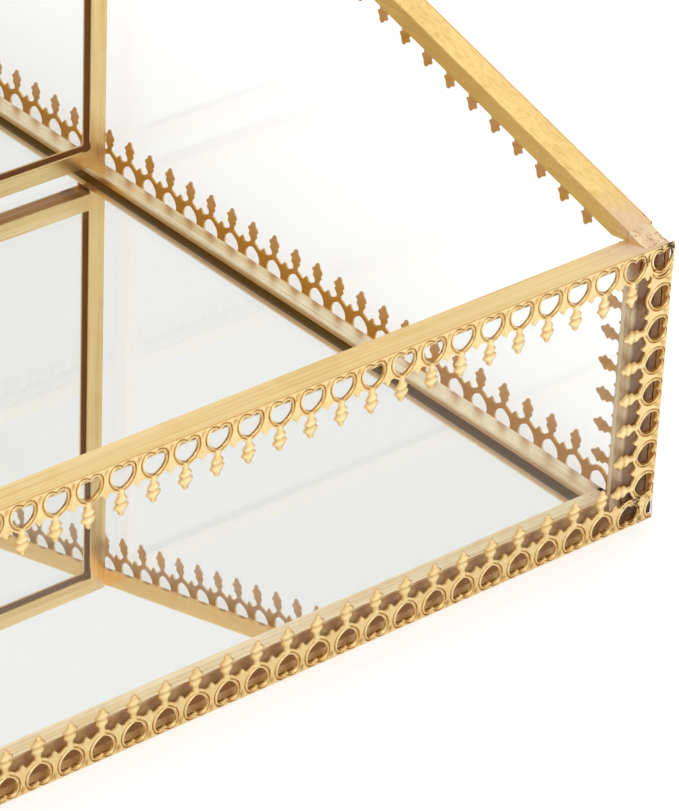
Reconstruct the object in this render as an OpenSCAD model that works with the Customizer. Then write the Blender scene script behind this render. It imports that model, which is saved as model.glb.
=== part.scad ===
// Dresser vanity tray: brass angle frame, glass walls, mirror floor, one glass divider
// and stamped lace edging. Millimetres, +X right along the low front wall, +Z up.
// The front wall faces -Y. The origin is under the middle of the tray, on the table.

/* [Overall] */
// Width of the brass frame, side to side
tray_w = 300; // [240:1:360]
// Depth of the brass frame, front to back
tray_d = 220; // [180:1:260]
// Height of the low front wall
front_h = 48; // [40:0.5:60]
// Height of the tall back wall
back_h = 109.5; // [90:0.5:130]

/* [Brass angle] */
// Width of the flat leg of each rail
rail_w = 4.4; // [4:0.1:6]
// Thickness of the brass angle
rail_t = 0.8; // [0.6:0.1:1]
// Depth of the inner leg of the top rails
top_leg = 3.1; // [2.4:0.1:4.5]
// Width of the bottom rail under the wall glass
low_w = 5.2; // [4.8:0.1:6]
// Distance from the outside of the frame to the free edge of the ledge
ledge_w = 7.4; // [6.8:0.1:9]
// Thickness of the ledge over the mirror
ledge_t = 1.1; // [0.8:0.1:1.4]
// Width of the inner leg of each corner post
post_leg = 6.0; // [5:0.1:8]

/* [Glass] */
// Thickness of the wall glass
glass_t = 2.8; // [2:0.1:3]
// Gap between the glass and the metal around it
glass_gap = 0.15; // [0.1:0.05:0.3]
// Thickness of the mirror glass
mirror_t = 1.8; // [1.4:0.1:2.2]
// Thickness of the silvered layer
silver_t = 0.1; // [0.05:0.01:0.15]
// Thickness of the backing sheet under the mirror
backing_t = 0.9; // [0.5:0.1:1.2]

/* [Divider] */
// Distance from the front of the frame to the middle of the divider
divider_y = 131.2; // [90:0.2:160]
// Thickness of the divider channel
channel_t = 3.6; // [3:0.1:4.4]
// Depth of the divider channel
channel_h = 3.1; // [2.8:0.1:3.6]
// Thickness of the channel wall
channel_wall = 0.45; // [0.4:0.05:0.6]
// Clear height between the mirror and the divider
divider_lift = 1.9; // [1.6:0.1:4]

/* [Lace edging] */
// Length of one heart of the lace
lace_pitch = 5.5; // [5:0.1:7]
// Thickness of the stamped lace
lace_t = 0.6; // [0.4:0.05:0.8]

/* [Hidden] */
P = lace_pitch;
hw = tray_w / 2;
hd = tray_d / 2;
run = tray_d - 2 * rail_w;
rise = back_h - front_h;
tilt = rise / tray_d;
theta = atan(tilt);
rail_v = rail_t / cos(theta);
leg_v = top_leg / cos(theta);
y_front = -hd + rail_w;
y_back = hd - rail_w;
mirror_z = backing_t;
mirror_top = mirror_z + silver_t + 0.02 + mirror_t;
inner_w = tray_w - 2 * rail_w;
web_in = low_w - rail_t;
floor_w = tray_w - 2 * low_w - 0.4;
floor_d = tray_d - 2 * low_w - 0.4;
ledge_z = mirror_top + 0.18;
ledge_top = ledge_z + ledge_t;
glass_lo = rail_t + glass_gap;
div_y = -hd + divider_y;
div_z = mirror_top + divider_lift;
div_top = slope_z(div_y);
pane_t = channel_t - 2 * channel_wall - 0.1;

function slope_z(y) = front_h + (y + hd) * tilt;

// Right-hand half of one lace unit, from the middle of a gap to the tip, in pitches.
nub = [[0.50, 0.86], [0.42, 0.72], [0.30, 0.74]];
fin = [[0.11, 0.92], [0.11, 1.02], [0.25, 1.12], [0.16, 1.34], [0, 1.58]];
blunt = [[0.16, 0.80], [0, 0.84]];
heart = [[0, 0.17], [0.19, 0.12], [0.35, 0.31], [0.27, 0.59], [0, 0.73]];
web = 0.65;

function flip(l) = [for (i = [len(l) - 1:-1:0]) [-l[i][0], l[i][1]]];
function half(tip) = tip ? concat(nub, fin) : concat(nub, blunt);
function whole(tip) = concat(half(tip), [for (q = flip(half(tip))) if (q[0] < 0 && q[0] > -0.5) q]);
function has_tip(i, n, skip) = i >= skip[0] && i < n - skip[1];
// One strip outline: u runs along the strip, v away from its plain edge.
function edge(len, first, n, p, skip) = [
    for (i = [n - 1:-1:0]) for (q = whole(has_tip(i, n, skip)))
        let (u = first + i * p + q[0] * p) if (u > 0.35 && u < len - 0.35) [u, q[1] * P]];

module strip2d(len, first, n, p, skip) {
    difference() {
        polygon(concat([[0, 0], [len, 0], [len, web * P]], edge(len, first, n, p, skip), [[0, web * P]]));
        for (i = [0:n - 1]) translate([first + i * p, 0])
            polygon(concat([for (q = heart) [q[0] * p, q[1] * P]],
                           [for (q = flip(heart)) if (q[0] < 0) [q[0] * p, q[1] * P]]));
    }
}

module strip(len, first, n, p, skip) {
    linear_extrude(height = lace_t) strip2d(len, first, n, p, skip);
}

// Counts and exact pitches that close each strip evenly.
lace_w = tray_w + 2 * lace_t;
top_first = 0.407 * P;
top_n = round((lace_w - 2 * top_first) / P) + 1;
top_p = (lace_w - 2 * top_first) / (top_n - 1);
low_first = 0.891 * P;
low_n = round((lace_w - 2 * low_first) / P) + 1;
low_p = (lace_w - 2 * low_first) / (low_n - 1);
side_len = tray_d - 0.2;
side_first = 1.112 * P - lace_t - 0.1;
side_n = round((side_len - 2 * side_first) / P) + 1;
side_p = (side_len - 2 * side_first) / (side_n - 1);
slope_len = run / cos(theta);
slope_first = 0.9 * P;
slope_n = round((slope_len - 2 * slope_first) / P) + 1;
slope_p = (slope_len - 2 * slope_first) / (slope_n - 1);
post_from = 0.86 * P;

// ---- floor ----
module backing_sheet() color([0.16, 0.15, 0.14])
    translate([-floor_w / 2, -floor_d / 2, 0]) cube([floor_w, floor_d, backing_t]);
module silvering() color([0.88, 0.89, 0.9])
    translate([-floor_w / 2, -floor_d / 2, mirror_z]) cube([floor_w, floor_d, silver_t]);
module mirror_glass() color([0.8, 0.88, 0.86, 0.4])
    translate([-floor_w / 2, -floor_d / 2, mirror_z + silver_t + 0.02]) cube([floor_w, floor_d, mirror_t]);

// ---- wall glass ----
module end_glass(h) {
    translate([-hw + rail_t + glass_gap, 0, glass_lo])
        cube([tray_w - 2 * rail_t - 2 * glass_gap, glass_t, h - rail_t - glass_gap - glass_lo]);
}
module front_glass() color([0.82, 0.9, 0.88, 0.3]) translate([0, -hd + glass_gap, 0]) end_glass(front_h);
module back_glass() color([0.82, 0.9, 0.88, 0.3]) translate([0, hd - glass_gap - glass_t, 0]) end_glass(back_h);
// A side pane lies in the YZ plane; its top edge follows the slope.
module side_pane() {
    ya = y_front + glass_gap;
    yb = y_back - glass_gap;
    d = rail_v + glass_gap;
    multmatrix([[0, 0, 1, 0], [1, 0, 0, 0], [0, 1, 0, 0], [0, 0, 0, 1]])
        linear_extrude(height = glass_t)
            polygon([[ya, glass_lo], [yb, glass_lo], [yb, slope_z(yb) - d], [ya, slope_z(ya) - d]]);
}
module left_glass() color([0.82, 0.9, 0.88, 0.3]) translate([-hw + glass_gap, 0, 0]) side_pane();
module right_glass() color([0.82, 0.9, 0.88, 0.3]) translate([hw - glass_gap - glass_t, 0, 0]) side_pane();

// ---- brass rails ----
// A bottom rail: flat under the glass, a web, and a ledge reaching over the mirror.
module low_rail(len, web_end, ledge_end) {
    union() {
        cube([len, low_w, rail_t]);
        translate([web_end, web_in, 0]) cube([len - 2 * web_end, rail_t, ledge_top]);
        translate([ledge_end, web_in, ledge_z]) cube([len - 2 * ledge_end, ledge_w - web_in, ledge_t]);
    }
}
// A top rail seen from its end: flat leg outward, hanging leg on the inner side.
module high_angle(len) rotate([90, 0, 90]) linear_extrude(height = len)
    polygon([[0, 0], [rail_w, 0], [rail_w, -top_leg], [rail_w - rail_t, -top_leg], [rail_w - rail_t, -rail_t], [0, -rail_t]]);
module end_low() low_rail(tray_w, web_in, web_in);
module side_low_rail() low_rail(tray_d - 2 * low_w, 0, ledge_w - low_w);
module front_bottom_rail() color([0.86, 0.7, 0.4]) translate([-hw, -hd, 0]) end_low();
module back_bottom_rail() color([0.86, 0.7, 0.4]) translate([hw, hd, 0]) rotate([0, 0, 180]) end_low();
module left_bottom_rail() color([0.86, 0.7, 0.4]) translate([-hw, hd - low_w, 0]) rotate([0, 0, -90]) side_low_rail();
module right_bottom_rail() color([0.86, 0.7, 0.4]) translate([hw, -hd + low_w, 0]) rotate([0, 0, 90]) side_low_rail();
module front_top_rail() color([0.88, 0.73, 0.43]) translate([-hw, -hd, front_h]) high_angle(tray_w);
module back_top_rail() color([0.88, 0.73, 0.43]) translate([hw, hd, back_h]) rotate([0, 0, 180]) high_angle(tray_w);
// A sloping side rail in the YZ plane; its hanging leg is cut away beside the front rail.
module slope_plate(w, pts) multmatrix([[0, 0, 1, 0], [1, 0, 0, 0], [0, 1, 0, 0], [0, 0, 0, 1]])
    linear_extrude(height = w) polygon(pts);
module slope_angle() {
    za = slope_z(y_front);
    zb = slope_z(y_back);
    slope_plate(rail_w, [[y_front, za], [y_back, zb], [y_back, zb - rail_v], [y_front, za - rail_v]]);
    slope_plate(rail_t, [[y_front, za], [y_back, zb], [y_back, zb - leg_v],
        [y_front + 3.4, slope_z(y_front + 3.4) - leg_v], [y_front, front_h - 0.5]]);
}
module right_slope_rail() color([0.88, 0.73, 0.43]) translate([hw - rail_w, 0, 0]) slope_angle();
module left_slope_rail() color([0.88, 0.73, 0.43]) mirror([1, 0, 0]) translate([hw - rail_w, 0, 0]) slope_angle();

// ---- corner posts: a flat leg on the side of the tray, the other leg inside the end glass ----
module post_pair(h) translate([0, 0, rail_t]) union() {
    cube([rail_t, rail_w - rail_t, h - 2 * rail_t]);
    translate([0, rail_w - rail_t, 0]) cube([post_leg, rail_t, h - rail_t - top_leg]);
}
module front_left_post() color([0.84, 0.68, 0.38]) translate([-hw, -hd, 0]) post_pair(front_h);
module front_right_post() color([0.84, 0.68, 0.38]) mirror([1, 0, 0]) translate([-hw, -hd, 0]) post_pair(front_h);
module back_left_post() color([0.84, 0.68, 0.38]) mirror([0, 1, 0]) translate([-hw, -hd, 0]) post_pair(back_h);
module back_right_post() color([0.84, 0.68, 0.38]) rotate([0, 0, 180]) translate([-hw, -hd, 0]) post_pair(back_h);

// ---- divider: a pane held in four lengths of channel ----
module channel2d() difference() {
    square([channel_t, channel_h]);
    translate([channel_wall, channel_wall]) square([channel_t - 2 * channel_wall, channel_h]);
}
module divider_bottom_channel() color([0.85, 0.69, 0.4]) translate([-inner_w / 2 + channel_h, div_y - channel_t / 2, div_z])
    rotate([90, 0, 90]) linear_extrude(height = inner_w - 2 * channel_h) channel2d();
module divider_top_channel() color([0.88, 0.73, 0.43]) translate([-inner_w / 2 + channel_h, div_y - channel_t / 2, div_top])
    rotate([90, 0, 90]) linear_extrude(height = inner_w - 2 * channel_h) mirror([0, 1]) channel2d();
module side_channel() translate([0, 0, ledge_top]) linear_extrude(height = div_top - ledge_top)
    rotate([0, 0, -90]) translate([-channel_t / 2, 0]) channel2d();
module divider_left_channel() color([0.84, 0.68, 0.38]) translate([-inner_w / 2, div_y, 0]) side_channel();
module divider_right_channel() color([0.84, 0.68, 0.38]) mirror([1, 0, 0]) translate([-inner_w / 2, div_y, 0]) side_channel();
module divider_glass() color([0.82, 0.9, 0.88, 0.3])
    translate([-inner_w / 2 + channel_wall + 0.1, div_y - pane_t / 2, div_z + channel_wall + 0.1])
        cube([inner_w - 2 * channel_wall - 0.2, pane_t, div_top - div_z - 2 * channel_wall - 0.2]);

// ---- lace ----
// Standing on the front face, tips up; and hanging from the top edge, tips down.
module on_front() translate([0, -hd, 0]) rotate([90, 0, 0]) children();
module on_back() translate([0, hd + lace_t, 0]) rotate([90, 0, 0]) children();
module low_strip() translate([-lace_w / 2, 0.05, 0]) strip(lace_w, low_first, low_n, low_p, [1, 1]);
module high_strip(h) translate([-lace_w / 2, h, 0]) mirror([0, 1, 0]) strip(lace_w, top_first, top_n, top_p, [1, 1]);
module front_bottom_lace() color([0.92, 0.76, 0.42]) on_front() low_strip();
module front_top_lace() color([0.92, 0.76, 0.42]) on_front() high_strip(front_h);
module back_bottom_lace() color([0.92, 0.76, 0.42]) on_back() low_strip();
module back_top_lace() color([0.92, 0.76, 0.42]) on_back() high_strip(back_h);

// A side strip is drawn in the YZ plane, outside the frame.
module on_side(side) translate([side > 0 ? hw : -hw - lace_t, 0, 0])
    multmatrix([[0, 0, 1, 0], [1, 0, 0, 0], [0, 1, 0, 0], [0, 0, 0, 1]]) children();
module side_low() translate([-side_len / 2, 0.05, 0]) strip(side_len, side_first, side_n, side_p, [2, 2]);
module side_high() translate([y_front, slope_z(y_front), 0]) rotate([0, 0, theta]) mirror([0, 1, 0])
    strip(slope_len, slope_first, slope_n, slope_p, [1, 1]);
module left_bottom_lace() color([0.92, 0.76, 0.42]) on_side(-1) side_low();
module right_bottom_lace() color([0.92, 0.76, 0.42]) on_side(1) side_low();
module left_slope_lace() color([0.92, 0.76, 0.42]) on_side(-1) side_high();
module right_slope_lace() color([0.92, 0.76, 0.42]) on_side(1) side_high();

// Upright strips at a corner: one on the end face, one on the side face behind the flat leg.
module upright(lo, hi, skip) {
    len = hi - lo;
    first = 0.9 * P;
    last = 0.55 * P;
    n = round((len - first - last) / P) + 1;
    p = (len - first - last) / (n - 1);
    translate([0, hi, 0]) rotate([0, 0, -90]) strip(len, first, n, p, skip);
}
module end_upright(h) translate([-lace_w / 2, 0, 0]) upright(web * P + 0.15, h - web * P - 0.1, [1, 0]);
module side_upright(h) translate([-hd + rail_w, 0, 0]) upright(web * P + 0.15, h - web * P - 0.1, [1, 0]);
// On the front and back faces.
module front_left_post_lace() color([0.92, 0.76, 0.42]) on_front() end_upright(front_h);
module front_right_post_lace() color([0.92, 0.76, 0.42]) mirror([1, 0, 0]) on_front() end_upright(front_h);
module back_left_post_lace() color([0.92, 0.76, 0.42]) mirror([0, 1, 0]) on_front() end_upright(back_h);
module back_right_post_lace() color([0.92, 0.76, 0.42]) rotate([0, 0, 180]) on_front() end_upright(back_h);
// On the side faces.
module left_front_post_lace() color([0.92, 0.76, 0.42]) on_side(-1) side_upright(front_h);
module right_front_post_lace() color([0.92, 0.76, 0.42]) on_side(1) side_upright(front_h);
module left_back_post_lace() color([0.92, 0.76, 0.42]) mirror([0, 1, 0]) on_side(-1) side_upright(back_h);
module right_back_post_lace() color([0.92, 0.76, 0.42]) mirror([0, 1, 0]) on_side(1) side_upright(back_h);

backing_sheet();
silvering();
mirror_glass();
front_glass();
back_glass();
left_glass();
right_glass();
divider_glass();
front_bottom_rail();
back_bottom_rail();
left_bottom_rail();
right_bottom_rail();
front_top_rail();
back_top_rail();
left_slope_rail();
right_slope_rail();
front_left_post();
front_right_post();
back_left_post();
back_right_post();
divider_bottom_channel();
divider_top_channel();
divider_left_channel();
divider_right_channel();
front_top_lace();
front_bottom_lace();
back_top_lace();
back_bottom_lace();
left_bottom_lace();
right_bottom_lace();
left_slope_lace();
right_slope_lace();
front_left_post_lace();
front_right_post_lace();
back_left_post_lace();
back_right_post_lace();
left_front_post_lace();
right_front_post_lace();
left_back_post_lace();
right_back_post_lace();
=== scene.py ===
import bpy
import math
from mathutils import Matrix, Vector


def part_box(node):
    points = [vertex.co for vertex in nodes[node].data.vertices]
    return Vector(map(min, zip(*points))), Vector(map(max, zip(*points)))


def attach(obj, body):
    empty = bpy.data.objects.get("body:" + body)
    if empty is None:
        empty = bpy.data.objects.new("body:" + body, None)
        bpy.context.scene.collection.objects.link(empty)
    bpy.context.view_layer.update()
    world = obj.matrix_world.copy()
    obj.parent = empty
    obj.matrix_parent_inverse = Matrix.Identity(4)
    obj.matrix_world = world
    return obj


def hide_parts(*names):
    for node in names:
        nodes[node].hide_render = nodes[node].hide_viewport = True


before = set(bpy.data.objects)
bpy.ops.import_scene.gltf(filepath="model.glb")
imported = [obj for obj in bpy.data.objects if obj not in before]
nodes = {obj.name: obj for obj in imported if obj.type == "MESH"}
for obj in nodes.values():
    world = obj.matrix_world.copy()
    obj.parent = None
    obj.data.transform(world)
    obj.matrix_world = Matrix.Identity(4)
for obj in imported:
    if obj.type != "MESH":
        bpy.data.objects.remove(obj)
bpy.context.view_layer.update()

scene = bpy.context.scene

# ------------------------------------------------------------------ camera
PITCH = 0.0055          # length of one heart of the lace
camera_data = bpy.data.cameras.new("tray_camera")
camera_data.sensor_fit = "HORIZONTAL"
camera_data.sensor_width = 36.0
camera_data.lens = 247.699
camera_data.shift_x = -0.029381
camera_data.shift_y = 0.150225
camera_data.clip_start = 0.01
camera_data.clip_end = 50.0
camera = bpy.data.objects.new("tray_camera", camera_data)
scene.collection.objects.link(camera)
camera.location = (-0.27406, -0.52641, 0.38435)
camera.rotation_euler = (0.994179, -0.040681, -0.694965)
scene.camera = camera


# ------------------------------------------------------------------ shader helpers
class Sock:
    """One output socket, with the arithmetic that the finishes below use."""

    def __init__(self, kit, socket):
        self.kit = kit
        self.socket = socket

    def _op(self, operation, a, b):
        return self.kit.node("ShaderNodeMath", {"operation": operation}, {0: a, 1: b})

    def __add__(self, other):
        return self._op("ADD", self, other)

    def __radd__(self, other):
        return self._op("ADD", other, self)

    def __sub__(self, other):
        return self._op("SUBTRACT", self, other)

    def __rsub__(self, other):
        return self._op("SUBTRACT", other, self)

    def __mul__(self, other):
        return self._op("MULTIPLY", self, other)

    def __rmul__(self, other):
        return self._op("MULTIPLY", other, self)

    def __truediv__(self, other):
        return self._op("DIVIDE", self, other)

    def at_least(self, other):
        return self._op("MAXIMUM", self, other)

    def at_most(self, other):
        return self._op("MINIMUM", self, other)

    def clear(self):
        return self.at_least(0.0).at_most(1.0)


class Finish:
    """One material and the nodes in it."""

    def __init__(self, name):
        self.material = bpy.data.materials.new(name)
        self.material.use_nodes = True
        self.tree = self.material.node_tree
        self.tree.nodes.clear()
        self.out = self.tree.nodes.new("ShaderNodeOutputMaterial")
        self.object_point = self.node("ShaderNodeTexCoord", {}, {}, "Object")

    def node(self, kind, settings=None, inputs=None, output=0):
        made = self.tree.nodes.new(kind)
        for key, value in (settings or {}).items():
            if key == "stops":
                ramp = made.color_ramp
                while len(ramp.elements) < len(value):
                    ramp.elements.new(0.5)
                for stop, (place, colour) in zip(ramp.elements, value):
                    stop.position = place
                    stop.color = colour if len(colour) == 4 else (*colour, 1.0)
            else:
                setattr(made, key, value)
        for key, value in (inputs or {}).items():
            socket = made.inputs[key]
            if isinstance(value, Sock):
                self.tree.links.new(value.socket, socket)
            elif hasattr(socket.default_value, "__len__"):
                if len(socket.default_value) == 4 and len(value) == 3:
                    value = (*value, 1.0)
                socket.default_value = value
            else:
                socket.default_value = value
        return Sock(self, made.outputs[output])

    def split(self):
        parts = self.tree.nodes.new("ShaderNodeSeparateXYZ")
        self.tree.links.new(self.object_point.socket, parts.inputs[0])
        return [Sock(self, parts.outputs[i]) for i in range(3)]

    def distance(self, place):
        """How far the shaded point is from one place on the piece."""
        ends = {0: self.object_point, 1: place}
        return self.node("ShaderNodeVectorMath", {"operation": "DISTANCE"}, ends, "Value")

    def mapped(self, scale, place=(0.0, 0.0, 0.0)):
        return self.node("ShaderNodeMapping", {},
                         {"Vector": self.object_point, "Scale": scale, "Location": place})

    def noise(self, scale, detail=3.0, rough=0.55, place=(0.0, 0.0, 0.0), size=1.0, warp=0.0):
        return self.node("ShaderNodeTexNoise", {}, {
            "Vector": self.mapped(scale, place),
            "Scale": size,
            "Detail": detail,
            "Roughness": rough,
            "Distortion": warp,
        })

    def mix(self, amount, first, second, blend="MIX"):
        made = self.tree.nodes.new("ShaderNodeMix")
        made.data_type = "RGBA"
        made.blend_type = blend
        for socket, value in ((made.inputs[0], amount), (made.inputs[6], first), (made.inputs[7], second)):
            if isinstance(value, Sock):
                self.tree.links.new(value.socket, socket)
            elif isinstance(value, tuple):
                socket.default_value = (*value, 1.0) if len(value) == 3 else value
            else:
                socket.default_value = value
        return Sock(self, made.outputs[2])

    def bump(self, height, strength, distance):
        return self.node("ShaderNodeBump", {}, {"Height": height, "Strength": strength, "Distance": distance})

    def surface(self, values):
        shader = self.node("ShaderNodeBsdfPrincipled", {}, values)
        self.tree.links.new(shader.socket, self.out.inputs["Surface"])
        return self.material


def soft_step(value, low, high):
    """0 below low, 1 above high, straight between."""
    return ((value - low) / (high - low)).clear()


# ------------------------------------------------------------------ finishes
STRAW = (0.90, 0.69, 0.34)       # pale lacquered brass
GOLD = (0.88, 0.64, 0.25)        # brass still richly lacquered
PAINTED_SHEEN = (0.97, 0.84, 0.58)       # pale brass, a painted highlight for the ledge tops and post legs that reflect the bright sky
HONEY = (0.80, 0.56, 0.22)       # warmer patches
AMBER = (0.56, 0.32, 0.075)      # heat-tinted brass near a joint; as the sloping rail's deep colour it is painted shade
UMBER = (0.22, 0.10, 0.035)      # tarnish in corners
ROSE = (0.72, 0.50, 0.36)        # solder flushed with copper
GINGER = (0.78, 0.51, 0.22)      # flux baked on beside a small joint
UNLIT = (0.0, 0.0, 0.0)          # gives off no light of its own


def rolled_brass(name, grain, corners, seed, light=STRAW, joint=ROSE, rough=0.21,
                 shade=None, deep=AMBER, painted_bounce_glow=UNLIT):
    """Rolled brass angle: long draw lines, clouds of warmer lacquer, tint and dark specks near each joint.
    shade marks where shade is painted and deep is the brown painted there; warmth is painted light, an emission
    standing in for the light picked up there from brass all round it."""
    f = Finish(name)
    stretch = [2600.0, 2600.0, 2600.0]
    stretch[grain] = 26.0
    lines = f.noise(tuple(stretch), 4.0, 0.6, (seed, seed, seed))
    broad = [420.0, 420.0, 420.0]
    broad[grain] = 14.0
    bands = f.noise(tuple(broad), 2.0, 0.5, (seed + 3.0, seed, seed))
    clouds = f.noise((95.0, 95.0, 95.0), 3.0, 0.55, (seed, seed + 5.0, seed), warp=0.6)
    specks = f.noise((1500.0, 1500.0, 1500.0), 2.0, 0.6, (seed, seed, seed + 7.0))
    colour = f.mix(soft_step(bands, 0.42, 0.66) * 0.60, light, HONEY)
    colour = f.mix(soft_step(lines, 0.48, 0.68) * 0.48, colour, AMBER)
    colour = f.mix(soft_step(clouds, 0.54, 0.76) * 0.25, colour, AMBER)
    painted_glow = UNLIT
    # Painted shade: where shade marks the brass, the colour goes to deep and the brass gives off faint painted
    # light.
    if shade is not None:
        painted_shade_mask = shade(f)
        colour = f.mix(painted_shade_mask, colour, deep)
        painted_glow = f.mix(painted_shade_mask, UNLIT, painted_bounce_glow)
    near = None
    for spot, reach in corners:
        away = f.distance(spot)
        one = (1.0 - away / reach).clear()
        near = one if near is None else near.at_least(one)
    if near is not None:
        mottle = (near + (clouds - 0.5) * 0.9).clear() * soft_step(near, 0.0, 0.3)
        if shade is not None:
            mottle = mottle * (1.0 - painted_shade_mask * 0.8)
        colour = f.mix(soft_step(mottle, 0.25, 0.7) * 0.65, colour, joint)
        pits = soft_step(specks, 0.70, 0.76) * soft_step(near, 0.1, 0.5)
        colour = f.mix(pits * 0.8, colour, UMBER)
    height = lines * 0.6 + bands * 0.4
    return f.surface({
        "Base Color": colour,
        "Metallic": 1.0,
        "Roughness": (rough + lines * 0.16 + soft_step(clouds, 0.5, 0.8) * 0.08).clear(),
        "Emission Color": painted_glow,
        "Emission Strength": 1.0,
        "Normal": f.bump(height, 0.36, 0.00009),
    })


def stamped_brass(name):
    """Stamped lace: bright on the ridges, deep orange in the hollows, fine hammering from the die."""
    f = Finish(name)
    relief = f.node("ShaderNodeAttribute", {"attribute_name": "relief"}, {}, "Fac")
    patches = f.noise((620.0, 620.0, 620.0), 4.0, 0.65)
    hammer = f.noise((2300.0, 2300.0, 2300.0), 3.0, 0.55)
    hollow = (1.0 - soft_step(relief, 0.10, 0.95)) * (0.55 + patches * 0.6)
    # The back of the lace: its orange colour and its emission are painted bounce light from the brass around it.
    back = 1.0 - soft_step(relief, 0.09, 0.14)
    colour = f.mix(soft_step(patches, 0.45, 0.72) * 0.6, (0.92, 0.73, 0.38), (0.86, 0.60, 0.23))
    colour = f.mix(hollow.clear() * 0.88, colour, (0.47, 0.23, 0.05))
    colour = f.mix(back * 0.9, colour, (0.62, 0.30, 0.055))
    colour = f.mix(soft_step(hammer, 0.60, 0.74) * 0.55, colour, (0.55, 0.28, 0.06))
    burnt = None
    for place in corner_spots.values():
        away = f.distance(place)
        one = (1.0 - away / SCORCH_REACH).clear()
        burnt = one if burnt is None else burnt.at_least(one)
    scorch = soft_step(patches * 0.7 + hammer * 0.3 + burnt * 0.22, 0.66, 0.72) * soft_step(burnt, 0.05, 0.3)
    colour = f.mix(scorch * 0.9, colour, (0.06, 0.03, 0.015))
    return f.surface({
        "Base Color": colour,
        "Emission Color": f.mix(back, UNLIT, (0.25, 0.105, 0.010)),
        "Emission Strength": 1.0,
        "Metallic": 1.0 - back * 0.55,
        "Roughness": (0.22 + patches * 0.14 + hollow * 0.06 + back * 0.2).clear(),
        "Normal": f.bump(hammer * 0.7 + patches * 0.3, 0.6, 0.00020),
    })


def sheet_glass(name, seed):
    """Clear sheet glass with a trace of dust and a faint waviness."""
    f = Finish(name)
    wave = f.noise((14.0, 14.0, 14.0), 1.0, 0.4, (seed, 0.0, 0.0))
    dust = f.noise((700.0, 700.0, 700.0), 3.0, 0.6, (seed, 2.0, 0.0))
    return f.surface({
        "Base Color": f.mix(soft_step(dust, 0.60, 0.85) * 0.25, (0.955, 0.958, 0.950), (0.92, 0.925, 0.92)),
        "Metallic": 0.0,
        "Roughness": soft_step(dust, 0.66, 0.9) * 0.05,
        "IOR": 1.5,
        "Transmission Weight": 1.0,
        "Specular IOR Level": 0.05,
        "Specular Tint": (0.15, 0.15, 0.15),
        "Normal": f.bump(wave, 0.02, 0.0002),
    })


def silver_layer(name):
    """Silvering seen through the glass: near perfect, a little worn and stained towards the edges."""
    f = Finish(name)
    x, y, z = f.split()
    low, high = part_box("silvering")
    fade = f.noise((160.0, 160.0, 160.0), 4.0, 0.6)
    edge_x = (f.node("ShaderNodeMath", {"operation": "ABSOLUTE"}, {0: x}) - (high[0] - 0.004)) / 0.004
    edge_y = (f.node("ShaderNodeMath", {"operation": "ABSOLUTE"}, {0: y}) - (high[1] - 0.004)) / 0.004
    edge = edge_x.at_least(edge_y).clear()
    worn = soft_step(edge + (fade - 0.5) * 1.2, 0.75, 1.1)
    bright = f.mix(fade * 0.3, (0.985, 0.985, 0.975), (0.97, 0.97, 0.96))
    return f.surface({
        "Base Color": f.mix(worn * 0.7, bright, (0.35, 0.33, 0.28)),
        "Metallic": 1.0,
        "Roughness": (worn * 0.3 + soft_step(fade, 0.7, 0.9) * 0.01).clear(),
    })


def paper_backing(name):
    f = Finish(name)
    fibre = f.noise((900.0, 300.0, 900.0), 4.0, 0.65)
    stain = f.noise((40.0, 40.0, 40.0), 3.0, 0.5)
    colour = f.mix(fibre, (0.018, 0.017, 0.016), (0.045, 0.042, 0.04))
    return f.surface({
        "Base Color": f.mix(stain * 0.4, colour, (0.06, 0.052, 0.045)),
        "Metallic": 0.0,
        "Roughness": (0.8 + fibre * 0.15).clear(),
        "Normal": f.bump(fibre, 0.3, 0.0001),
    })


low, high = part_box("front_top_rail")
rail_half, front_edge, front_top = high[0], low[1], high[2]
_, back_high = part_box("back_top_rail")
back_edge, back_top = back_high[1], back_high[2]
INSET = 0.0022           # how far in from the outer edges a corner joint has its middle
JOINT_REACH = 0.016      # how far the tint of a corner joint spreads
SMALL_JOINT_REACH = 0.011
SCORCH_REACH = 0.008     # how far the lace is scorched round a joint
FOOT_JOINT_HEIGHT = 0.002
DIVIDER_FOOT = 0.005     # height of the joint under a divider channel
corner_spots = {}
for tag, sx in (("left", -1.0), ("right", 1.0)):
    x = sx * (rail_half - INSET)
    corner_spots["front_top_" + tag] = (x, front_edge + INSET, front_top)
    corner_spots["front_low_" + tag] = (x, front_edge + INSET, FOOT_JOINT_HEIGHT)
    corner_spots["back_top_" + tag] = (x, back_edge - INSET, back_top)
    corner_spots["back_low_" + tag] = (x, back_edge - INSET, FOOT_JOINT_HEIGHT)


def spots(*starts):
    return [(place, JOINT_REACH) for key, place in corner_spots.items() if key.startswith(starts)]


low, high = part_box("divider_right_channel")
divider_y = 0.5 * (low[1] + high[1])
divider_half = 0.5 * (high[1] - low[1])
divider_spots = []
for sx in (-1.0, 1.0):
    for z in (DIVIDER_FOOT, high[2]):
        divider_spots.append(((sx * high[0], divider_y, z), SMALL_JOINT_REACH))


def under_ledge(f):
    """Painted shade: everything below the top of the ledge sits in the tray's own shade, and this paints it
    brown.
    """
    x, y, z = f.split()
    return (1.0 - soft_step(z, ledge_top - 0.0006, ledge_top - 0.00005)) * 0.8


def under_slope(f):
    """Painted shade on the hanging leg of a sloping rail, below its flat."""
    x, y, z = f.split()
    depth = (front_top + (y - front_edge) * tilt_up) - z
    return soft_step(depth, 0.0001, 0.0005) * 0.55


def behind_corner(f):
    """Painted shade on the corner seam of a post, hidden behind the lace."""
    x, y, z = f.split()
    across = f.node("ShaderNodeMath", {"operation": "ABSOLUTE"}, {0: x})
    return soft_step(across, rail_half - 0.0044, rail_half - 0.0036) * 0.9


def in_channel(f):
    """Painted shade on the inside of a divider channel."""
    x, y, z = f.split()
    off = f.node("ShaderNodeMath", {"operation": "ABSOLUTE"}, {0: y - divider_y})
    return 1.0 - soft_step(off, divider_half - 0.0004, divider_half - 0.0001)


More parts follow.
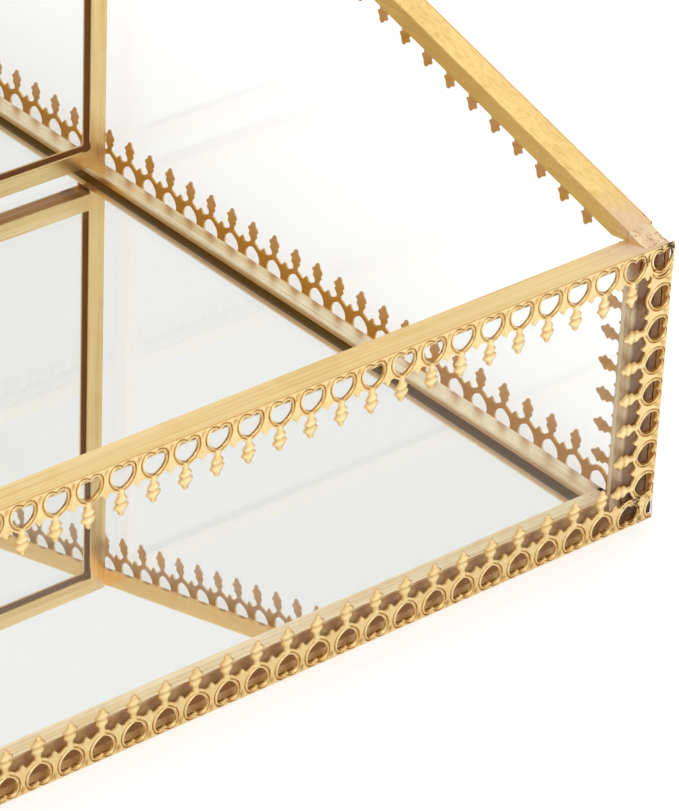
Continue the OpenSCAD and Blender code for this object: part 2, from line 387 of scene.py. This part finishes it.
ledge_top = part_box("front_bottom_rail")[1][2]
tilt_up = (back_top - front_top) / (back_edge - front_edge)
# Low rails and posts start from pale brass as a painted highlight; each shade function below paints shade in its
# deep colour and faint painted light as emission.
rail_low_x = rolled_brass("brass_low_rail_cross", 0, spots("front_low", "back_low"), 5.0, PAINTED_SHEEN,
                          shade=under_ledge, deep=(0.34, 0.155, 0.026), painted_bounce_glow=(0.07, 0.034, 0.005))
rail_low_y = rolled_brass("brass_low_rail_side", 1, spots("front_low", "back_low"), 15.0, PAINTED_SHEEN,
                          shade=under_ledge, deep=(0.34, 0.155, 0.026), painted_bounce_glow=(0.07, 0.034, 0.005))
rail_slope = rolled_brass("brass_slope_rail", 1, spots("front_top", "back_top"), 19.0, GOLD,
                          shade=under_slope, painted_bounce_glow=(0.13, 0.066, 0.012))
rail_x = rolled_brass("brass_rail_cross", 0, spots("front", "back"), 1.0)
post_z = rolled_brass("brass_post", 2, spots("front", "back"), 23.0, PAINTED_SHEEN, rough=0.36,
                      shade=behind_corner, deep=(0.17, 0.062, 0.008), painted_bounce_glow=(0.05, 0.016, 0.001))
channel_x = rolled_brass("brass_channel_cross", 0, divider_spots, 31.0, joint=GINGER,
                         shade=in_channel, deep=(0.30, 0.14, 0.04), painted_bounce_glow=(0.09, 0.038, 0.010))
channel_z = rolled_brass("brass_channel_upright", 2, divider_spots, 43.0, joint=GINGER,
                         shade=in_channel, deep=(0.30, 0.14, 0.04), painted_bounce_glow=(0.09, 0.038, 0.010))
lace_finish = stamped_brass("brass_lace")
pane_finish = sheet_glass("wall_glass", 3.0)
floor_glass = sheet_glass("mirror_face", 9.0)
silver = silver_layer("silvering")
backing = paper_backing("backing_paper")


def finish_node(name, material):
    body = nodes[name].data
    body.materials.clear()
    body.materials.append(material)


for name in nodes:
    if name.endswith("_lace"):
        finish_node(name, lace_finish)
    elif name == "silvering":
        finish_node(name, silver)
    elif name == "mirror_glass":
        finish_node(name, floor_glass)
    elif name == "backing_sheet":
        finish_node(name, backing)
    elif name.endswith("_glass"):
        finish_node(name, pane_finish)
    elif name.endswith("_channel"):
        finish_node(name, channel_x if ("bottom" in name or "top" in name) else channel_z)
    elif name.endswith("_post"):
        finish_node(name, post_z)
    elif name.endswith("_slope_rail"):
        finish_node(name, rail_slope)
    elif name.endswith("_bottom_rail"):
        finish_node(name, rail_low_x if name.startswith(("front", "back")) else rail_low_y)
    else:
        finish_node(name, rail_x)


# ------------------------------------------------------------------ modelling helpers
def only(piece):
    bpy.ops.object.select_all(action="DESELECT")
    piece.select_set(True)
    bpy.context.view_layer.objects.active = piece


def select_all_off():
    bpy.ops.object.select_all(action="DESELECT")
    bpy.context.view_layer.objects.active = None


def ring(name, points):
    """A circle primitive with its corners on the given points, left in edit mode with its rim selected."""
    select_all_off()
    bpy.ops.mesh.primitive_circle_add(vertices=len(points), radius=1.0, fill_type="NOTHING")
    piece = bpy.context.object
    piece.name = name
    piece.data.name = name
    for vertex, point in zip(piece.data.vertices, points):
        vertex.co = point
    bpy.ops.object.mode_set(mode="EDIT")
    bpy.ops.mesh.select_all(action="SELECT")
    return piece


def next_ring(piece, before, after):
    """Extrudes the selected rim in place, then carries each new corner to its own point."""
    bpy.ops.mesh.extrude_edges_move()
    bpy.ops.object.mode_set(mode="OBJECT")
    old = [Vector(p) for p in before]
    for vertex in piece.data.vertices:
        if vertex.select:
            nearest = min(range(len(old)), key=lambda i: (old[i] - vertex.co).length_squared)
            vertex.co = after[nearest]
    piece.data.update()
    bpy.ops.object.mode_set(mode="EDIT")


def carried(name, rings):
    """A closed bar: the first ring capped, then carried on through the others."""
    piece = ring(name, rings[0])
    bpy.ops.mesh.edge_face_add()
    for before, after in zip(rings, rings[1:]):
        bpy.ops.mesh.extrude_region_move()
        bpy.ops.object.mode_set(mode="OBJECT")
        old = [Vector(p) for p in before]
        for vertex in piece.data.vertices:
            if vertex.select:
                nearest = min(range(len(old)), key=lambda i: (old[i] - vertex.co).length_squared)
                vertex.co = after[nearest]
        bpy.ops.object.mode_set(mode="EDIT")
    bpy.ops.mesh.select_all(action="SELECT")
    bpy.ops.mesh.normals_make_consistent(inside=False)
    bpy.ops.object.mode_set(mode="OBJECT")
    return piece


def modified(piece, kind, **settings):
    only(piece)
    made = piece.modifiers.new(kind.lower(), kind)
    for key, value in settings.items():
        setattr(made, key, value)
    bpy.ops.object.modifier_apply(modifier=made.name)


def copied(piece, name):
    twin = piece.copy()
    twin.data = piece.data.copy()
    twin.name = twin.data.name = name
    scene.collection.objects.link(twin)
    return twin


# ------------------------------------------------------------------ lace
# Outlines of one heart, in lace pitches: u along the strip, v away from its plain edge.
# Each list runs from the notch or edge in the middle, up the right side, to the middle again.
HOLE = [(0, 0.200), (0.075, 0.130), (0.170, 0.108), (0.262, 0.150), (0.322, 0.240), (0.338, 0.330),
        (0.334, 0.400), (0.312, 0.480), (0.268, 0.555), (0.190, 0.635), (0.100, 0.695), (0, 0.735)]
CELL = [(0, 0.0), (0.17, 0.0), (0.34, 0.0), (0.50, 0.0), (0.50, 0.13), (0.50, 0.30), (0.50, 0.90),
        (0.440, 0.840), (0.405, 0.765), (0.310, 0.745), (0.150, 0.850)]
SHEET = 0.00030          # thickness of the stamped sheet
CREST = 0.00050          # height of the raised rims
PIT = 0.00004            # bottom of the small pit between two hearts
CENTRE = (0.0, 0.416)    # middle of the heart
SAME_PLACE = 1e-7        # two points nearer than this are one
FINIAL_RIM = 0.00004     # height of a finial at its outline


def around(half):
    """The closed loop of a right-hand half outline."""
    return list(half) + [(-u, v) for u, v in reversed(half[1:-1])]


def lifted(loop, heights):
    if not isinstance(heights, (list, tuple)):
        heights = [heights] * len(loop)
    return [(u * PITCH, v * PITCH, h) for (u, v), h in zip(loop, heights)]


def swelled(loop, d):
    """Moves each point of a loop outward from the heart's middle by d pitches."""
    out = []
    for u, v in loop:
        reach = math.hypot(u - CENTRE[0], v - CENTRE[1])
        k = (reach + d) / reach
        out.append((CENTRE[0] + (u - CENTRE[0]) * k, CENTRE[1] + (v - CENTRE[1]) * k))
    return out


def heart_cell():
    """One cell of the lace: the heart opening, its rounded rim, a groove, and sheet to the cell's edge."""
    hole = around(HOLE)
    cell = around(CELL + [(0, 0.880)])
    cell_heights = []
    for u, v in cell:
        at_side = abs(u) > 0.49
        in_pit = at_side and 0.1 < v < 0.2
        cell_heights.append(PIT if in_pit else SHEET * 1.2 if at_side else SHEET * 1.05)
    loops = [
        lifted(hole, 0.0),
        lifted(swelled(hole, 0.004), CREST * 0.62),
        lifted(swelled(hole, 0.024), CREST),
        lifted(swelled(hole, 0.048), CREST * 0.86),
        lifted(swelled(hole, 0.062), SHEET * 0.40),
        lifted(swelled(hole, 0.088), SHEET * 0.40),
        lifted(swelled(hole, 0.106), SHEET * 1.25),
        lifted(cell, cell_heights),
        lifted(cell, 0.0),
    ]
    piece = ring("lace_cell", loops[0])
    for before, after in zip(loops, loops[1:]):
        next_ring(piece, before, after)
    # the flat back
    next_ring(piece, loops[-1], loops[0])
    bpy.ops.mesh.select_all(action="SELECT")
    bpy.ops.mesh.remove_doubles(threshold=SAME_PLACE)
    # the ends of the cell stay open, so that neighbours join into one sheet
    bpy.ops.mesh.select_mode(type="FACE")
    bpy.ops.mesh.select_all(action="DESELECT")
    bpy.ops.object.mode_set(mode="OBJECT")
    for polygon in piece.data.polygons:
        corners = [piece.data.vertices[i].co.x for i in polygon.vertices]
        polygon.select = all(abs(abs(x) - 0.5 * PITCH) < SAME_PLACE for x in corners)
    bpy.ops.object.mode_set(mode="EDIT")
    bpy.ops.mesh.delete(type="FACE")
    bpy.ops.mesh.select_all(action="SELECT")
    bpy.ops.mesh.normals_make_consistent(inside=False)
    bpy.ops.object.mode_set(mode="OBJECT")
    return piece


# Widths up the finial: (v, half width, height of its back), in pitches, pitches and metres.
FINIAL = [(0.74, 0.150, 0.00040), (0.88, 0.105, 0.00044), (0.97, 0.100, 0.00036), (1.04, 0.155, 0.00042),
          (1.10, 0.205, 0.00050), (1.16, 0.190, 0.00046), (1.205, 0.165, 0.00030), (1.27, 0.240, 0.00044),
          (1.33, 0.230, 0.00050), (1.39, 0.150, 0.00044), (1.45, 0.105, 0.00034), (1.51, 0.088, 0.00044),
          (1.57, 0.020, 0.00024)]


def finial_piece():
    """Stem and three-lobed tip: a five-sided section carried up the middle line."""
    rings = []
    for v, w, h in FINIAL:
        half, up = w * PITCH, v * PITCH
        rings.append([(-half, up, FINIAL_RIM), (-half * 0.6, up, h * 0.86), (0.0, up, h),
                      (half * 0.6, up, h * 0.86), (half, up, FINIAL_RIM)])
    return carried("lace_finial", rings)


cell_master = heart_cell()
finial_master = finial_piece()


def lace_strip(name, length, first, pitch, plain_start, plain_end, origin, along, inward):
    """A whole strip. first is the place of one heart; the cells run past both ends and are cut square there.
    plain_start and plain_end give how far from each end a heart has no finial."""
    before = math.ceil((first + 0.5 * pitch) / pitch - 1e-6)
    start = first - before * pitch
    count = math.ceil((length - start) / pitch + 0.5)
    cells = copied(cell_master, name)
    modified(cells, "ARRAY", count=count, use_relative_offset=False, use_constant_offset=True,
             constant_offset_displace=(PITCH, 0.0, 0.0), use_merge_vertices=True, merge_threshold=1e-6)
    stretch = pitch / PITCH
    tips = [start + i * pitch for i in range(count)]
    tips = [u for u in tips if plain_start <= u <= length - plain_end]
    points = copied(finial_master, name + "_tips")
    modified(points, "ARRAY", count=len(tips), use_relative_offset=False, use_constant_offset=True,
             constant_offset_displace=(PITCH, 0.0, 0.0))
    only(cells)
    cells.data.transform(Matrix.Translation((start, 0.0, 0.0)) @ Matrix.Diagonal((stretch, 1.0, 1.0, 1.0)))
    points.data.transform(Matrix.Translation((tips[0], 0.0, 0.0)) @ Matrix.Diagonal((stretch, 1.0, 1.0, 1.0)))
    bpy.ops.object.mode_set(mode="EDIT")
    for place, normal in ((0.0, (-1.0, 0.0, 0.0)), (length, (1.0, 0.0, 0.0))):
        bpy.ops.mesh.select_all(action="SELECT")
        bpy.ops.mesh.bisect(plane_co=(place, 0.0, 0.0), plane_no=normal, clear_outer=True, use_fill=False)
        bpy.ops.mesh.select_all(action="DESELECT")
        bpy.ops.object.mode_set(mode="OBJECT")
        for edge in cells.data.edges:
            edge.select = all(abs(cells.data.vertices[i].co.x - place) < SAME_PLACE for i in edge.vertices)
        bpy.ops.object.mode_set(mode="EDIT")
        bpy.ops.mesh.select_mode(type="EDGE")
        bpy.ops.mesh.edge_face_add()
    bpy.ops.mesh.select_mode(type="VERT")
    bpy.ops.object.mode_set(mode="OBJECT")
    bpy.ops.object.select_all(action="DESELECT")
    points.select_set(True)
    cells.select_set(True)
    bpy.context.view_layer.objects.active = cells
    bpy.ops.object.join()
    relief = cells.data.attributes.new("relief", "FLOAT", "POINT")
    relief.data.foreach_set("value", [vertex.co.z / CREST for vertex in cells.data.vertices])
    along, inward = Vector(along).normalized(), Vector(inward).normalized()
    outward = along.cross(inward)
    turn = Matrix((along, inward, outward)).transposed().to_4x4()
    cells.data.transform(Matrix.Translation(origin) @ turn)
    cells.data.materials.clear()
    cells.data.materials.append(lace_finish)
    only(cells)
    bpy.ops.object.shade_smooth_by_angle(angle=math.radians(50.0))
    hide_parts(name)
    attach(cells, "root")
    cells.name = name + "_relief"
    cells.data.name = cells.name
    return cells


def even_pitch(length, first):
    """The exact pitch that puts a heart at the same place from both ends."""
    return (length - 2.0 * first) / round((length - 2.0 * first) / PITCH)


X, Y, Z = Vector((1, 0, 0)), Vector((0, 1, 0)), Vector((0, 0, 1))
low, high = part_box("front_bottom_lace")
full = high[0] - low[0]
edge_x = high[0]
face_front = high[1]
base_lift = low[2]
face_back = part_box("back_bottom_lace")[0][1]
face_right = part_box("right_bottom_lace")[0][0]
NO_TIP = 1.2 * PITCH

top_first = 0.407 * PITCH
top_pitch = even_pitch(full, top_first)
low_first = 0.891 * PITCH
low_pitch = even_pitch(full, low_first)
for side, face, sign in (("front", face_front, 1.0), ("back", face_back, -1.0)):
    height = front_top if side == "front" else back_top
    lace_strip(side + "_bottom_lace", full, low_first, low_pitch, NO_TIP, NO_TIP,
               (-sign * edge_x, face, base_lift), sign * X, Z)
    lace_strip(side + "_top_lace", full, top_first, top_pitch, 0.8 * PITCH, 0.8 * PITCH,
               (sign * edge_x, face, height), -sign * X, -Z)

low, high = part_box("right_bottom_lace")
side_length = high[1] - low[1]
side_start = low[1]
side_first = 1.112 * PITCH - (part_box("front_bottom_lace")[1][1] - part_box("front_bottom_lace")[0][1]) - 0.0001
side_pitch = even_pitch(side_length, side_first)
rail_low, rail_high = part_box("right_slope_rail")
slope_start = Vector((0.0, rail_low[1], front_top + tilt_up * (rail_low[1] - front_edge)))
slope_end = Vector((0.0, rail_high[1], rail_high[2]))
slope_dir = (slope_end - slope_start).normalized()
slope_in = Vector((0.0, slope_dir.z, -slope_dir.y))
slope_length = (slope_end - slope_start).length
slope_first = 0.9 * PITCH
slope_pitch = even_pitch(slope_length, slope_first)
for side, sign in (("right", 1.0), ("left", -1.0)):
    x = sign * face_right
    start = side_start if sign > 0 else -side_start
    lace_strip(side + "_bottom_lace", side_length, side_first, side_pitch, 2.2 * PITCH, 2.2 * PITCH,
               (x, start, base_lift), sign * Y, Z)
    begin = slope_end if sign > 0 else slope_start
    lace_strip(side + "_slope_lace", slope_length, slope_first, slope_pitch, 1.2 * PITCH, 1.2 * PITCH,
               (x, begin.y, begin.z), -sign * slope_dir, slope_in)

# Upright strips. One that runs down is laid out from its upper end, one that runs up from its foot.
FROM_TOP, FROM_FOOT = 0.9 * PITCH, 0.55 * PITCH
for end, face, sign in (("front", face_front, 1.0), ("back", face_back, -1.0)):
    for side, mirror in (("left", -1.0), ("right", 1.0)):
        node = end + "_" + side + "_post_lace"
        low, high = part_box(node)
        length = high[2] - low[2]
        pitch = (length - FROM_TOP - FROM_FOOT) / round((length - FROM_TOP - FROM_FOOT) / PITCH)
        down = (sign * mirror) < 0
        first = FROM_TOP if down else FROM_FOOT
        plain = (1.2 * PITCH, 0.0) if down else (0.0, 1.2 * PITCH)
        lace_strip(node, length, first, pitch, plain[0], plain[1],
                   (mirror * edge_x, face, high[2] if down else low[2]), -Z if down else Z, -mirror * X)
        node = side + "_" + end + "_post_lace"
        low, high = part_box(node)
        length = high[2] - low[2]
        down = (sign * mirror) > 0
        first = FROM_TOP if down else FROM_FOOT
        plain = (1.2 * PITCH, 0.0) if down else (0.0, 1.2 * PITCH)
        lace_strip(node, length, first, pitch, plain[0], plain[1],
                   (mirror * face_right, low[1] if end == "front" else high[1], high[2] if down else low[2]),
                   -Z if down else Z, sign * Y)
for master in (cell_master, finial_master):
    bpy.data.objects.remove(master)


# ------------------------------------------------------------------ mirror floor
def mirror_floor():
    """One slab of glass with ground edges, silvered on its underside."""
    low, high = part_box("mirror_glass")
    size = Vector(high) - Vector(low)
    select_all_off()
    bpy.ops.mesh.primitive_cube_add(size=1.0, location=(Vector(high) + Vector(low)) * 0.5, scale=size)
    slab = bpy.context.object
    slab.name = slab.data.name = "mirror_floor"
    bpy.ops.object.transform_apply(location=True, rotation=True, scale=True)
    modified(slab, "BEVEL", width=0.00015, segments=2, limit_method="ANGLE")
    slab.data.materials.append(floor_glass)
    slab.data.materials.append(silver)
    for polygon in slab.data.polygons:
        if polygon.normal.z < -0.9:
            polygon.material_index = 1
    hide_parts("mirror_glass", "silvering")
    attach(slab, "root")
    return slab


mirror_floor()


# ------------------------------------------------------------------ solder at the corners
def soft_solder(name, pale, dark, share):
    """Wiped solder: copper-flushed, pitted where the flux boiled."""
    f = Finish(name)
    clouds = f.noise((520.0, 520.0, 520.0), 3.0, 0.6)
    pits = f.noise((1400.0, 1400.0, 1400.0), 2.0, 0.6)
    dull = (soft_step(clouds, 0.45, 0.62) * share + soft_step(pits, 0.58, 0.66) * 0.8).clear()
    return f.surface({
        "Base Color": f.mix(dull, pale, dark),
        "Metallic": 0.85,
        "Roughness": (0.30 + dull * 0.3).clear(),
        "Normal": f.bump(clouds * 0.6 + pits * 0.4, 0.5, 0.00015),
    })


def placed(piece, name, material):
    piece.name = piece.data.name = name
    piece.data.materials.clear()
    piece.data.materials.append(material)
    only(piece)
    bpy.ops.object.shade_smooth_by_angle(angle=math.radians(40.0))
    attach(piece, "root")


def mirrored(piece, name, across, back):
    twin = copied(piece, name)
    twin.data.transform(Matrix.Diagonal((-1.0 if across else 1.0, -1.0 if back else 1.0, 1.0, 1.0)))
    if across != back:
        twin.data.flip_normals()
    return twin


def solder_ramp():
    """The fillet that fills the step between the front rail's flat and the sloping rail's."""
    y_low, y_high = front_edge + 0.0006, rail_low[1] + 0.0001
    rise = tilt_up * (y_high - front_edge)
    rings = []
    for x, fuller in ((rail_half - 0.0044, 0.92), (rail_half - 0.0030, 1.02), (rail_half - 0.0012, 1.0),
                      (rail_half, 0.90)):
        section = [(x, y_low, front_top - 0.0001)]
        for step in range(6):
            t = step / 5.0
            section.append((x, y_low + t * (y_high - y_low), front_top + 0.00003 + rise * fuller * t ** 1.5))
        section.append((x, y_high, front_top - 0.0001))
        rings.append(section)
    return carried("solder_ramp", rings)


# Outline of the burnt flux behind a bottom corner, in metres in from the corner and up from the foot.
FLUX = [(0.0061, 0.0059), (0.0047, 0.0059), (0.0037, 0.0044), (0.0021, 0.0030), (-0.0005, 0.0029),
        (-0.0005, 0.0009),
        (0.0018, 0.0009), (0.0028, 0.0023), (0.0046, 0.0042), (0.0058, 0.0053)]


def flux_patch():
    return carried("burnt_flux", [[(rail_half - u, y, v) for u, v in FLUX]
                                  for y in (face_front - 0.0001, face_front + 0.0004)])


solder = soft_solder("corner_solder", (0.84, 0.64, 0.40), (0.52, 0.31, 0.16), 0.35)
flux = soft_solder("burnt_flux", (0.16, 0.08, 0.035), (0.04, 0.02, 0.01), 0.8)
ramp = solder_ramp()
placed(mirrored(ramp, "solder_ramp_left", True, False), "solder_ramp_left", solder)
placed(ramp, "solder_ramp_right", solder)
patch = flux_patch()
OTHER_CORNERS = (("left_front", True, False), ("right_back", False, True), ("left_back", True, True))
for name, across, back in OTHER_CORNERS:
    placed(mirrored(patch, "burnt_flux_" + name, across, back), "burnt_flux_" + name, flux)
placed(patch, "burnt_flux_right_front", flux)

# ------------------------------------------------------------------ floor and light
select_all_off()
bpy.ops.mesh.primitive_plane_add(size=8.0, location=(0.0, 0.0, 0.0))
ground = bpy.context.object
ground.name = "studio_floor"
g = Finish("studio_paper")
paper = g.noise((3.0, 3.0, 3.0), 2.0, 0.5)
ground.data.materials.append(g.surface({
    "Base Color": g.mix(paper, (0.94, 0.94, 0.94), (0.96, 0.96, 0.96)),
    "Roughness": 0.9,
    "Emission Color": g.mix(paper, (0.98, 0.98, 0.98), (1.0, 1.0, 1.0)),
    "Emission Strength": 0.20,
}))

world = bpy.data.worlds.new("studio")
scene.world = world
world.use_nodes = True
world.node_tree.nodes["Background"].inputs["Color"].default_value = (1.0, 1.0, 1.0, 1.0)
world.node_tree.nodes["Background"].inputs["Strength"].default_value = 0.95
scene.view_settings.view_transform = "Standard"


def softbox(name, place, target, width, height, power):
    data = bpy.data.lights.new(name, "AREA")
    data.shape = "RECTANGLE"
    data.size, data.size_y = width, height
    data.energy = power
    lamp = bpy.data.objects.new(name, data)
    scene.collection.objects.link(lamp)
    lamp.location = place
    lamp.rotation_euler = (Vector(target) - Vector(place)).to_track_quat("-Z", "Y").to_euler()


softbox("key_light", (-1.2, -0.9, 1.9), (0.05, 0.0, 0.0), 1.8, 1.8, 9.0)
softbox("top_light", (0.4, 0.6, 2.2), (0.0, 0.0, 0.0), 2.0, 2.0, 7.0)
